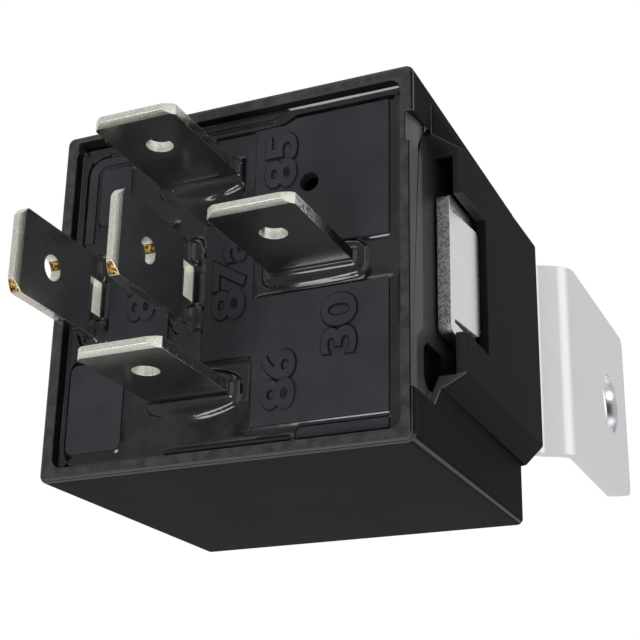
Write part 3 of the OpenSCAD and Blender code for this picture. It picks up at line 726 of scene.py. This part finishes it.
def working_copy(node, name):
    """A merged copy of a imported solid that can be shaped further."""
    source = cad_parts[node]
    piece = source.copy()
    piece.data = source.data.copy()
    piece.name = name
    piece.data.name = name
    piece.parent = None
    for key in list(piece.keys()):
        del piece[key]
    bpy.context.scene.collection.objects.link(piece)
    piece.data.materials.clear()
    take(piece)
    bpy.ops.object.mode_set(mode="EDIT")
    bpy.ops.mesh.select_all(action="SELECT")
    bpy.ops.mesh.remove_doubles(threshold=SAME_POINT)
    bpy.ops.mesh.dissolve_limited(angle_limit=FLAT_ANGLE)
    bpy.ops.object.mode_set(mode="OBJECT")
    bpy.ops.mesh.customdata_custom_splitnormals_clear()
    return piece


print("CAD points:", sum(len(solid.data.vertices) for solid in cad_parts.values()))

# %% Round edges, slots and bodies
ROUNDED_ANGLE = math.radians(28)
SMOOTH_ANGLE = math.radians(40)
LARGE_FACES_FIRST = 80


def round_edges(piece, width, edge_slot):
    """Rounds the clear edges, shades the rest smooth and lets the large faces look flat."""
    take(piece)
    bevel = piece.modifiers.new("rounded_edges", "BEVEL")
    bevel.width = width
    bevel.segments = 2
    bevel.limit_method = "ANGLE"
    bevel.angle_limit = ROUNDED_ANGLE
    bevel.use_clamp_overlap = False
    bevel.material = edge_slot
    bpy.ops.object.modifier_apply(modifier=bevel.name)
    bpy.ops.object.shade_smooth_by_angle(angle=SMOOTH_ANGLE)
    weighted = piece.modifiers.new("flat_faces", "WEIGHTED_NORMAL")
    weighted.keep_sharp = True
    weighted.weight = LARGE_FACES_FIRST
    bpy.ops.object.modifier_apply(modifier=weighted.name)


def give_materials(piece, *materials):
    """One material slot for each, counted from 0."""
    for material in materials:
        piece.data.materials.append(material)


def paint(piece, index, test):
    """Gives material slot index to the faces whose centre and normal pass the test."""
    for face in piece.data.polygons:
        if test(face.center, face.normal):
            face.material_index = index


def seat(piece, body, slot, *nodes):
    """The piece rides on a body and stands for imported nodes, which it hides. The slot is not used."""
    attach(piece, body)
    if nodes:
        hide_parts(*nodes)
    print(piece.name, "faces:", len(piece.data.polygons))


print("edges are rounded from", round(math.degrees(ROUNDED_ANGLE)), "degrees")


# %% [markdown]
# ## Cover
#
# The cover is a thin moulded box with a raised pocket on one side. Its solid already has the shape.
# A small bevel gives its edges the soft bright line that a real moulding has, and those edge faces
# take a painted highlight. The pocket's own edges stay dull, and the side that carries the bracket, the
# rim, the pocket's mouth, its bar and a few facets that catch light each get a finish of their own,
# painted paler as painted light.

# %% Cover with soft edges
COVER_EDGE = 0.1 * MM

cover = working_copy("cover", "cover_shell")
give_materials(cover, BLACK_MOULDING, PAINTED_EDGE_HIGHLIGHT, PAINTED_GLINT_FACE, RIM_FACE, OUTER_SIDE, BAR_HIGHLIGHT,
               MOUTH_WALL)
BLACK, EDGE_HIGHLIGHT, GLINT, RIM, OUTER, BAR, MOUTH = range(7)
round_edges(cover, COVER_EDGE, edge_slot=EDGE_HIGHLIGHT)
COVER_LOW, COVER_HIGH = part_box("cover")
HALF_WIDTH = -COVER_LOW.x
HALF_DEPTH = COVER_HIGH.y
print("cover:", round(2 * HALF_WIDTH / MM, 1), "x", round(2 * HALF_DEPTH / MM, 1), "mm")

# %% Plain sides of the cover
EDGE_BAND = 0.6 * MM
PANEL_EDGE = 2 * MM
NEAR = 0.1 * MM


def well_inside(centre, band):
    """Further than a band from the sides of terminals 85 and 86 and from the plain far side."""
    return abs(centre.y) < HALF_DEPTH - band and centre.x > band - HALF_WIDTH


def sheltered(centre, normal):
    """All that stays plain black, without painted light: inside the box, in the pocket and up to the
    raised panel's edges.
    """
    return well_inside(centre, EDGE_BAND) and centre.x < HALF_WIDTH + PANEL_EDGE


def outward(centre, normal):
    """The side that carries the bracket, outside the pocket."""
    return normal.x > 0.5 and centre.x > HALF_WIDTH - NEAR


paint(cover, BLACK, sheltered)
# The side that carries the bracket is painted a little paler as painted light.
paint(cover, OUTER, outward)
print("outer faces:", sum(face.material_index == OUTER for face in cover.data.polygons))

# %% Walls and bar of the pocket's mouth
# A box is two corners in millimetres. A 20 or a -20 lies outside the cover, so that nothing is left
# out on that side.
MOUTH_BOX = ((13.6, -10.3, -9), (15.7, 10.3, -2.6))
BAR_SET_BACK = 0.25 * MM
BAR_DEPTH = 4 * MM


def in_box(centre, box):
    """Whether a face's centre lies between the box's two corners."""
    return all(low * MM < place < high * MM for low, place, high in zip(box[0], centre, box[1]))


def mouth(centre, normal):
    """Walls of the pocket's mouth, in front of the window."""
    return in_box(centre, MOUTH_BOX) and normal.z > -0.5


def bar(centre, normal):
    """The bar across the pocket's mouth, set a little back from the side."""
    set_back = abs(centre.x - HALF_WIDTH + BAR_SET_BACK) < NEAR
    return normal.x > 0.9 and set_back and centre.z > -BAR_DEPTH


# The mouth's walls and its bar are painted paler as painted light.
paint(cover, MOUTH, mouth)
paint(cover, BAR, bar)
print("mouth faces:", sum(face.material_index in (MOUTH, BAR) for face in cover.data.polygons))

# %% Rim, corner and facets that catch light
RIM_WIDTH = 0.9 * MM
RIM_TOP = 0.3 * MM
RIM_DEPTH = 2.5 * MM
RIM_ROUND = 0.7 * MM
CORNER_BAND = 1 * MM
SILL_BOX = ((14.9, -20, -12), (20, 0, -6))
NOTCH_END_BOX = ((13.66, -20, -9), (20, 0, -3))
FACET_BOX = ((-20, 7, -4), (20, 20, 20))


def on_rim(centre, normal):
    """The rim's flat top and the walls just inside it."""
    top = normal.z > 0.9 and centre.z > -RIM_TOP
    inner = well_inside(centre, RIM_WIDTH) and centre.x < HALF_WIDTH - RIM_WIDTH
    return top or (inner and centre.z > -RIM_DEPTH)


def near_corner(centre, normal):
    """The upright corner between the bracket's side and the side of terminal 86, and the rim there, which
    take a painted highlight.
    """
    turned = normal.x > 0.5 and normal.y < -0.5
    corner = centre.x > HALF_WIDTH - CORNER_BAND and centre.y < CORNER_BAND - HALF_DEPTH
    rim_edge = normal.y < -0.25 and normal.z > 0.25 and centre.z > -RIM_ROUND
    return (turned and corner) or rim_edge


def glinting(centre, normal):
    """Faces of the mouth that catch light, painted pale as a highlight: the window's low end, the notch's
    end and a facet.
    """
    sill = normal.y > 0.8 and in_box(centre, SILL_BOX)
    notch_end = normal.z > 0.2 and abs(normal.y) > 0.2 and in_box(centre, NOTCH_END_BOX)
    facet = 0.05 < normal.z < 0.5 and normal.x > 0.8 and in_box(centre, FACET_BOX)
    return sill or notch_end or facet


# The rim is painted paler as painted light, and the corner and the glinting facets take painted
# highlights.
paint(cover, RIM, on_rim)
paint(cover, EDGE_HIGHLIGHT, near_corner)
paint(cover, GLINT, glinting)
seat(cover, "housing", "cover_plastic", "cover")


# %% [markdown]
# ## Base and its numbers
#
# Raised pads stand out of the base, and each carries the number of the blade beside it, in strokes
# raised by about a tenth of a millimetre out of a shallow dark outline. A number is typed as text,
# thickened and made a mesh. Only then is it turned to read along +Y and moved to its pad, so its
# The outline is the same text, thicker and almost flat, a dark sheet that is a painted shadow.

# %% Base with soft edges
PAD_EDGE = 0.12 * MM
VENT_AT = Vector((6.2, 6.4)) * MM
VENT_RADIUS = 0.68 * MM
VENT_LIP = 0.7 * MM
PADS, VENT = range(2)


def in_vent(centre, normal):
    """The inside of the blind vent, below its round lip."""
    return (centre.xy - VENT_AT).length < VENT_RADIUS and centre.z < -VENT_LIP


base = working_copy("base", "base_plate")
give_materials(base, PAD_MOULDING, VENT_INSIDE)
round_edges(base, PAD_EDGE, edge_slot=PADS)
# The vent's inside is painted almost black as painted shade.
paint(base, VENT, in_vent)
seat(base, "housing", "base_plastic", "base")

# %% Raised numbers
NUMBER_RISE = 0.13 * MM
# The outline round each number is a painted shadow.
OUTLINE_RISE = 0.015 * MM
OUTLINE = 0.11 * MM
# The type is one unit in size until it is fitted to its place, where that unit is this long.
TYPE_SIZE = 3.56 * MM
STROKE_GROWTH = 0.025
LETTER_SPACING = 0.92
# Each number's text, the X of its foot and head, and the Y of its first and last stroke, in mm
NUMBERS = [
    ("85", 2.75, 5.25, 6.3, 10.65),
    ("87a", -1.15, 1.5, -3.3, 3.15),
    ("30", 7.38, 9.98, -7.0, -2.6),
    ("86", 2.9, 5.5, -10.4, -6.15),
    ("87", -8.2, -5.8, -2.3, 2.2),
]


def raised_number(text, foot, head, start, end, top, rise, grown, material):
    """One number, reading along +Y with its foot on the +X side, its strokes grown on all sides."""
    bpy.ops.object.text_add(location=(0, 0, 0))
    label = bpy.context.object
    label.data.body = text
    label.data.extrude = 0.5
    label.data.offset = STROKE_GROWTH + grown / TYPE_SIZE
    label.data.space_character = LETTER_SPACING
    label.data.resolution_u = 6
    take(label)
    bpy.ops.object.convert(target="MESH")
    label.name = ("outline_" if grown else "number_") + text
    points = np.array([v.co for v in label.data.vertices])
    low, high = points.min(0), points.max(0)
    width, height = (end - start) * MM + 2 * grown, (head - foot) * MM + 2 * grown
    for vertex in label.data.vertices:
        along = (vertex.co.x - low[0]) / (high[0] - low[0]) * width
        up = (vertex.co.y - low[1]) / (high[1] - low[1]) * height
        out = (vertex.co.z - low[2]) / (high[2] - low[2])
        vertex.co = (head * MM + grown - up, start * MM - grown + along, top + (out * 2 - 1) * rise)
    bpy.ops.object.mode_set(mode="EDIT")
    bpy.ops.mesh.select_all(action="SELECT")
    bpy.ops.mesh.remove_doubles(threshold=2 * SAME_POINT)
    bpy.ops.mesh.normals_make_consistent(inside=False)
    bpy.ops.object.mode_set(mode="OBJECT")
    give_materials(label, material)
    bpy.ops.object.shade_smooth_by_angle(angle=math.radians(30))
    return label


pad_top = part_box("base")[1].z
# Each number stands on a thin dark sheet, a painted shadow.
for place in NUMBERS:
    for rise, grown, material in ((NUMBER_RISE, 0, PAD_MOULDING), (OUTLINE_RISE, OUTLINE, PAINTED_NUMBER_SHADOW)):
        seat(raised_number(*place, pad_top, rise, grown, material), "housing", "base_plastic")


# %% [markdown]
# ## Resin
#
# A liquid climbs every wall that it wets. To shape that, a fine grid is laid at the resin's level,
# and each of its points is lifted by how near it is to a wall: a little near the pads and the
# cover, and more near a blade, where a rounded collar stands round the metal. The pads' outlines
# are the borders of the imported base's raised faces, so the distances are exact.

# %% Distances to the walls
BLADE_BARE = 0.9 * MM
PAD_STEP = 0.15 * MM
TINY = 1e-12
BLADES = ["terminal_30", "terminal_85", "terminal_86", "terminal_87", "terminal_87a"]


def raised_borders(node, level):
    """Border segments, in X and Y, of the upward faces that lie above a level."""
    mesh = bmesh.new()
    mesh.from_mesh(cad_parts[node].data)
    bmesh.ops.remove_doubles(mesh, verts=mesh.verts, dist=SAME_POINT)
    raised = {f for f in mesh.faces if f.normal.z > 0.99 and f.calc_center_median().z > level}
    ends = []
    for edge in mesh.edges:
        if sum(face in raised for face in edge.link_faces) == 1:
            ends.append([v.co.xy[:] for v in edge.verts])
    mesh.free()
    return np.array(ends)


def segment_distance(points, segments):
    """Distance from each point to the nearest of the segments."""
    nearest = np.full(len(points), np.inf)
    for start, end in segments:
        run = end - start
        share = np.clip(((points - start) @ run) / max(run @ run, TINY), 0, 1)
        gap = points - (start + share[:, None] * run)
        nearest = np.minimum(nearest, np.hypot(gap[:, 0], gap[:, 1]))
    return nearest


def smooth_step(value, low, high):
    """0 up to low, 1 from high on, and smooth between them."""
    share = np.clip((value - low) / (high - low), 0, 1)
    return share * share * (3 - 2 * share)


def blade_box(node):
    """The box of the part of a blade that stands out above the rim."""
    points = np.array([v.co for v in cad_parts[node].data.vertices])
    above = points[points[:, 2] > BLADE_BARE]
    return above.min(0), above.max(0)


resin_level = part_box("sealing_resin")[1].z
pad_borders = raised_borders("base", resin_level + PAD_STEP)
print("pad borders:", len(pad_borders), "segments")

# %% Lift round the blades
COLLAR_HEIGHT = 0.32 * MM
COLLAR_IN, COLLAR_OUT = 0.8 * MM, 1.2 * MM
COLLAR_PAST_BLADE = 0.5 * MM
# How wide a collar is at the blade's two ends, and how much wider at its middle
COLLAR_SHAPE = {"terminal_30": (0.8, 0.2)}
USUAL_SHAPE = (0.55, 0.75)
SKIRT_HEIGHT = 0.42 * MM
SKIRT_REACH = 0.17 * MM
# Blades 87 and 87a have a window through their root, and the resin hardly climbs beside it.
WINDOWED = ("terminal_87", "terminal_87a")
WINDOW_HALF = 1.35 * MM
WINDOW_FADE = 0.7 * MM
WINDOW_LIFT = 0.15


def collar(points, node):
    """How far a blade lifts the resin: a collar that is widest at the blade's middle, and a skirt."""
    low, high = blade_box(node)
    middle, half = (low + high)[:2] / 2, (high - low)[:2] / 2
    offset = np.abs(points - middle)
    gap = np.maximum(offset - half, 0)
    distance = np.hypot(gap[:, 0], gap[:, 1])
    along = int(half[1] > half[0])
    ends, extra = COLLAR_SHAPE.get(node, USUAL_SHAPE)
    bulge = ends + extra * (1 - np.minimum(offset[:, along] / (half[along] + COLLAR_PAST_BLADE), 1) ** 2)
    lift = COLLAR_HEIGHT * (1 - smooth_step(distance, COLLAR_IN * bulge, COLLAR_OUT * bulge))
    lift += SKIRT_HEIGHT * np.exp(-distance / SKIRT_REACH)
    if node in WINDOWED:
        clear = smooth_step(offset[:, 1], WINDOW_HALF, WINDOW_HALF + WINDOW_FADE)
        lift *= WINDOW_LIFT + (1 - WINDOW_LIFT) * clear
    return lift


print("blades with a collar:", len(BLADES))

# %% Flat pool
RESIN_STEP = 0.11 * MM
base_low, base_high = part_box("base")


def flat_pool(low, high):
    """A fine flat grid over the whole base, at the resin's level."""
    size = (high.x - low.x, high.y - low.y)
    counts = [int(side / RESIN_STEP) for side in size]
    middle = ((low.x + high.x) / 2, (low.y + high.y) / 2, resin_level)
    bpy.ops.mesh.primitive_grid_add(x_subdivisions=counts[0], y_subdivisions=counts[1], size=1,
                                    location=middle)
    pool = bpy.context.object
    pool.name = "resin_pool"
    pool.scale = (*size, 1)
    bpy.ops.object.transform_apply(location=True, rotation=True, scale=True)
    return pool


resin = flat_pool(base_low, base_high)
print("resin points:", len(resin.data.vertices))

# %% Climb on walls and blades
PAD_CLIMB = 0.24 * MM
PAD_REACH = 0.2 * MM
CLEAR_OF_RESIN = 0.05 * MM
HIGH_ABOVE = 10 * MM
UNDER_PAD = 0.15 * MM
VENT_CLEARING = 1 * MM


def over_pads(points):
    """Which points lie where a pad stands up through the resin."""
    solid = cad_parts["base"].data
    tree = BVHTree.FromPolygons([v.co for v in solid.vertices], [p.vertices for p in solid.polygons])
    down = Vector((0, 0, -1))
    hits = [tree.ray_cast(Vector((x, y, HIGH_ABOVE)), down)[0] for x, y in points]
    return np.array([hit is not None and hit.z > resin_level + CLEAR_OF_RESIN for hit in hits])


def climb(pool, low, high):
    """Lifts the pool near walls and blades, and tells which of its points the pads and vent hide."""
    points = np.array([v.co.xy for v in pool.data.vertices])
    on_pad = over_pads(points)
    to_pads = segment_distance(points, pad_borders)
    to_cover = np.minimum(points - np.array(low)[:2], np.array(high)[:2] - points).min(1)
    from_wall = np.where(on_pad, 0, np.minimum(to_pads, np.maximum(to_cover, 0)))
    lift = PAD_CLIMB * np.exp(-from_wall / PAD_REACH)
    for node in BLADES:
        lift += collar(points, node) * ~on_pad
    for vertex, rise in zip(pool.data.vertices, lift):
        vertex.co.z += rise
    to_vent = np.hypot(*(points - np.array(VENT_AT)).T)
    return (on_pad & (to_pads > UNDER_PAD)) | (to_vent < VENT_CLEARING)


hidden = climb(resin, base_low, base_high)
print("hidden points:", int(hidden.sum()))

# %% Cut out the pads and close the pool
RESIN_THICKNESS = 0.4 * MM


def cut_and_close(pool, hidden):
    """Deletes the hidden points and gives the sheet its thickness, downwards."""
    take(pool)
    bpy.ops.object.mode_set(mode="EDIT")
    bpy.ops.mesh.select_mode(type="VERT")
    bpy.ops.mesh.select_all(action="DESELECT")
    bpy.ops.object.mode_set(mode="OBJECT")
    for vertex, away in zip(pool.data.vertices, hidden):
        vertex.select = bool(away)
    bpy.ops.object.mode_set(mode="EDIT")
    bpy.ops.mesh.delete(type="VERT")
    bpy.ops.mesh.select_all(action="SELECT")
    bpy.ops.mesh.extrude_region_move(TRANSFORM_OT_translate={"value": (0, 0, -RESIN_THICKNESS)})
    bpy.ops.mesh.select_all(action="SELECT")
    bpy.ops.mesh.normals_make_consistent(inside=False)
    bpy.ops.object.mode_set(mode="OBJECT")
    bpy.ops.object.shade_smooth_by_angle(angle=math.radians(50))


cut_and_close(resin, hidden)
give_materials(resin, RESIN)
seat(resin, "housing", "resin", "sealing_resin")


# %% [markdown]
# ## Blades
#
# Each blade is a pressed strip. Its two broad faces keep the tin, painted darker as painted shade on
# the three blades that stand crosswise. Its edges are sheared, with a painted highlight along their
# rounded corners, and its tip, its hole and the window at its root are coarse and painted bright as a
# highlight. On the other two blades bare brass shows at one corner of the tip and in the hole, and the
# common blade has one torn edge, painted bright near the tip and dark towards the root as painted
# light. Faces are told apart by where their normals point, and the hole's wall by its distance from
# the hole's axis.

# %% Tinned blades
BLADE_EDGE = 0.035 * MM
SHEARED_BELOW = 1.5 * MM
DETENT_FROM_TIP = 4.1 * MM
DETENT_RADIUS = 0.95 * MM
HOLE_ROUND = 1.08
TIP_DEPTH = 0.9 * MM
ROOT_WINDOW_HALF = 1.4 * MM
ROOT_WINDOW_RISE = 1 * MM
CHAMFER = Vector((0, -1, 1)).normalized()
# Slot 0 holds the tin of the two broad faces.
SIDE, BRASS, TIP, TORN_AND_LIT = range(1, 5)


def make_blade(node):
    """A copy of a terminal with a finish each for faces, sides, bare brass, tip and torn edge."""
    piece = working_copy(node, node.replace("terminal", "blade"))
    low, high = blade_box(node)
    across = 1 if high[0] - low[0] > high[1] - low[1] else 0
    along = 1 - across
    # The three crosswise blades get the tin painted darker as painted shade.
    face = TIN_PAINTED_DARK if across == 1 else TINNED_FACE
    give_materials(piece, face, SHEARED_SIDE, BARE_BRASS, SHEARED_TIP_AND_HIGHLIGHT, TORN_SIDE_PAINTED_LIGHT)
    hole = Vector(((low[0] + high[0]) / 2, (low[1] + high[1]) / 2, high[2] - DETENT_FROM_TIP))
    tip = high[2] - TIP_DEPTH

    def sheared(centre, normal):
        """All the sides, down to where the resin hides them."""
        return abs(normal[across]) < 0.9 and centre.z > -SHEARED_BELOW

    def corner_highlight(centre, normal):
        """The rounded corners along the strip, painted bright as a highlight."""
        return 0.3 < abs(normal[across]) < 0.9 and abs(normal.z) < 0.3 and centre.z > 0

    def hole_wall(centre, normal):
        """The wall of the detent hole."""
        gap = math.hypot(centre[along] - hole[along], centre.z - hole.z)
        return gap < DETENT_RADIUS * HOLE_ROUND and abs(normal[across]) < 0.5

    def coarse(centre, normal):
        """The tip, and the walls of the hole and of the window at the root."""
        at_tip = centre.z > tip and normal.z > 0.3
        at_root = abs(centre[along] - hole[along]) < ROOT_WINDOW_HALF and abs(centre.z) < ROOT_WINDOW_RISE
        return at_tip or (at_root and abs(normal[across]) < 0.5) or hole_wall(centre, normal)

    def bare(centre, normal):
        """One corner of the tip and a patch in the hole."""
        upper = 0.2 < (centre.y - hole.y) / DETENT_RADIUS < 0.8 and centre.z < hole.z
        corner = centre.z > tip and (normal - CHAMFER).length < 0.05
        return across == 0 and ((upper and hole_wall(centre, normal)) or corner)

    def torn_and_lit(centre, normal):
        """The common blade's edge that faces the bracket."""
        return node == "terminal_30" and normal.x > 0.9 and centre.z > 0

    round_edges(piece, BLADE_EDGE, edge_slot=SIDE)
    paint(piece, SIDE, sheared)
    # The rounded corners take the bright tip metal as a painted highlight.
    paint(piece, TIP, corner_highlight)
    paint(piece, TIP, coarse)
    paint(piece, BRASS, bare)
    # The torn edge is painted bright near the tip and dark towards the root.
    paint(piece, TORN_AND_LIT, torn_and_lit)
    seat(piece, "housing", "blade_metal", node)


for node in BLADES:
    make_blade(node)


# %% [markdown]
# ## Bracket
#
# The bracket is one folded sheet, zinc plated on its faces. The end of its tongue, which stands in the
# pocket's window, is painted brighter as painted light, and the cut edges there, whose normals lie
# along Y or Z, are coarse.

# %% Plated bracket
BRACKET_EDGE = 0.06 * MM
TONGUE_SHOWN = 8 * MM
TONGUE_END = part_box("bracket")[1].z - TONGUE_SHOWN
PLATE, CUT, BRIGHT = range(3)


def tongue(centre, normal):
    """The end of the tongue."""
    return centre.z > TONGUE_END


def tongue_edge(centre, normal):
    """The cut edges round the end of the tongue."""
    return tongue(centre, normal) and (abs(normal.y) > 0.3 or normal.z > 0.9)


bracket = working_copy("bracket", "bracket_sheet")
give_materials(bracket, ZINC_PLATE, ZINC_CUT, ZINC_PAINTED_BRIGHT)
round_edges(bracket, BRACKET_EDGE, edge_slot=PLATE)
# The tongue's end is painted brighter as painted light.
paint(bracket, BRIGHT, tongue)
paint(bracket, CUT, tongue_edge)
seat(bracket, "housing", "zinc_steel", "bracket")


# %% [markdown]
# ## Magnet and contacts
#
# These solids have the right shape as packed, so they stay as they are and only change finish.

# %% Finishes on the inner nodes
INNER_FINISHES = {
    "yoke": PLATED_IRON, "core": PLATED_IRON, "armature": PLATED_IRON,
    "leaf_rivet_inner": PLATED_IRON, "leaf_rivet_outer": PLATED_IRON,
    "bobbin": NATURAL_NYLON, "coil_winding": ENAMELLED_WIRE, "coil_tape": AMBER_TAPE,
    "coil_lead_85": ENAMELLED_WIRE, "coil_lead_86": ENAMELLED_WIRE,
    "contact_leaf": COPPER_STRIP, "flexible_braid": COPPER_STRIP,
    "moving_contact": SILVER_ALLOY, "contact_no": SILVER_ALLOY, "contact_nc": SILVER_ALLOY,
    "return_spring": SPRING_WIRE,
}

for node, material in INNER_FINISHES.items():
    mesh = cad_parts[node].data
    mesh.materials.clear()
    mesh.materials.append(material)
print("inner nodes finished:", len(INNER_FINISHES))


# %% [markdown]
# ## End


print("scene built")
